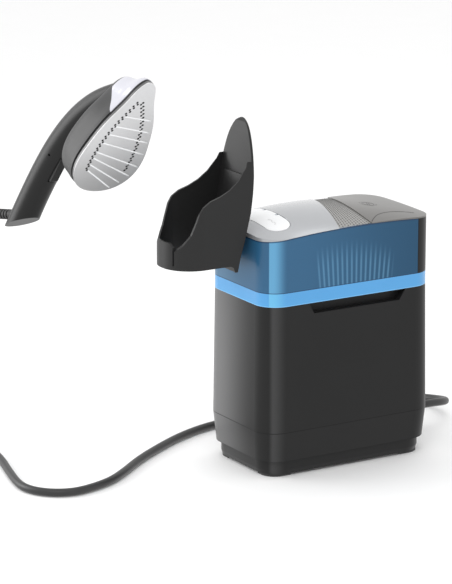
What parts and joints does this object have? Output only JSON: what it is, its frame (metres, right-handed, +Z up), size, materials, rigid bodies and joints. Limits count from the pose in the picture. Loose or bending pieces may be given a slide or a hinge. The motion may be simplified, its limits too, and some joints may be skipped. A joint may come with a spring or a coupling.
{
  "type": "garment steamer",
  "caption": "Garment steam station with a blue water tank, a side dock and a flexible hose to a hand-held steam head with a teardrop sole plate.",
  "frame": {"origin": "on the floor, in the middle of the base's feet", "axes": "+X along the base's long side, away from the dock; -Y is the long front side; +Z up"},
  "size_m": [0.608, 0.4236, 0.4897],
  "materials": {
    "foot_rubber": "matt moulded rubber",
    "casing_black": "satin dark moulded plastic",
    "trim_blue": "glossy light blue",
    "tank_blue": "glossy deep blue, tinted",
    "tower_black": "semi-gloss black",
    "dome_silver": "glossy silver white",
    "grip_grey": "knurled light grey",
    "panel_grey": "satin warm grey",
    "door_white": "glossy white",
    "button_grey": "satin warm grey",
    "clear_inner": "translucent white",
    "steel": "plain steel",
    "aluminium_cast": "cast aluminium",
    "brass_fitting": "machined brass",
    "seal_black": "soft black rubber",
    "silicone_tube": "milky silicone tube",
    "pump_body": "moulded pump body",
    "board_green": "circuit board",
    "dock_dark": "satin dark moulded plastic",
    "sole_light": "light satin sole plate",
    "head_grey": "satin mid grey",
    "handle_dark": "satin near-black",
    "nose_white": "glossy white",
    "hose_black": "satin charcoal hose"
  },
  "bodies": {
    "root": {"foot_ring": "foot_rubber", "base_plate": "casing_black", "base_skirt": "casing_black", "base_housing": "casing_black", "grip_recess": "casing_black", "trim_band": "trim_blue", "chassis_deck": "casing_black", "water_tank": "tank_blue", "tank_cover": "clear_inner", "rear_tower": "tower_black", "tank_valve": "pump_body", "tank_seal": "seal_black", "fill_funnel": "clear_inner", "door_pin": "steel", "top_dome": "dome_silver", "grip_band": "grip_grey", "control_panel": "panel_grey", "boiler_lower": "aluminium_cast", "boiler_upper": "aluminium_cast", "boiler_gasket": "seal_black", "boiler_bolts": "steel", "heating_element": "steel", "steam_valve": "brass_fitting", "safety_valve": "brass_fitting", "thermostat": "pump_body", "pump": "pump_body", "pump_mounts": "seal_black", "water_tube": "silicone_tube", "feed_tube": "silicone_tube", "steam_tube": "silicone_tube", "hose_gland": "seal_black", "mains_inlet": "seal_black", "control_board": "board_green", "button_switch": "pump_body", "button_spring": "steel", "dock_shell": "dock_dark", "dock_rest_pad": "seal_black", "dock_bracket": "dock_dark", "hose_floor": "hose_black", "hose_riser": "hose_black"},
    "steam_head": {"sole_plate": "sole_light", "steam_chamber": "aluminium_cast", "chamber_screws": "steel", "head_gasket": "seal_black", "steam_pipe": "silicone_tube", "head_shell": "head_grey", "nose_cover": "nose_white", "spine_cover": "head_grey", "handle_body": "handle_dark", "handle_end_cap": "handle_dark", "trigger_pin": "steel", "trigger_spring": "steel", "microswitch": "pump_body", "hose_cuff": "seal_black"},
    "trigger": {"trigger": "seal_black"},
    "fill_door": {"fill_door": "door_white"},
    "power_button": {"power_button": "button_grey"}
  },
  "joints": [
    {"name": "head_stroke", "type": "slide", "parent": "root", "child": "steam_head", "axis": [0, 0, 1], "range_m": [-0.1, 0.1], "deforming": ["hose_riser"]},
    {"name": "trigger_pull", "type": "hinge", "parent": "steam_head", "child": "trigger", "pos_m": [-0.28105, 0.12788, 0.37429], "axis": [0.9874, 0.0826, -0.1349], "range_deg": [0, 7], "stiffness_Nm_per_rad": 0.8, "springref_deg": -5.73, "deforming": ["trigger_spring"]},
    {"name": "door_open", "type": "hinge", "parent": "root", "child": "fill_door", "pos_m": [-0.0702, 0, 0.3045], "axis": [0, 1, 0], "range_deg": [0, 95]},
    {"name": "power_press", "type": "slide", "parent": "root", "child": "power_button", "axis": [0, 0, -1], "range_m": [0, 0.0015], "stiffness_N_per_m": 400, "springref_m": -0.001, "deforming": ["button_spring"]}
  ]
}
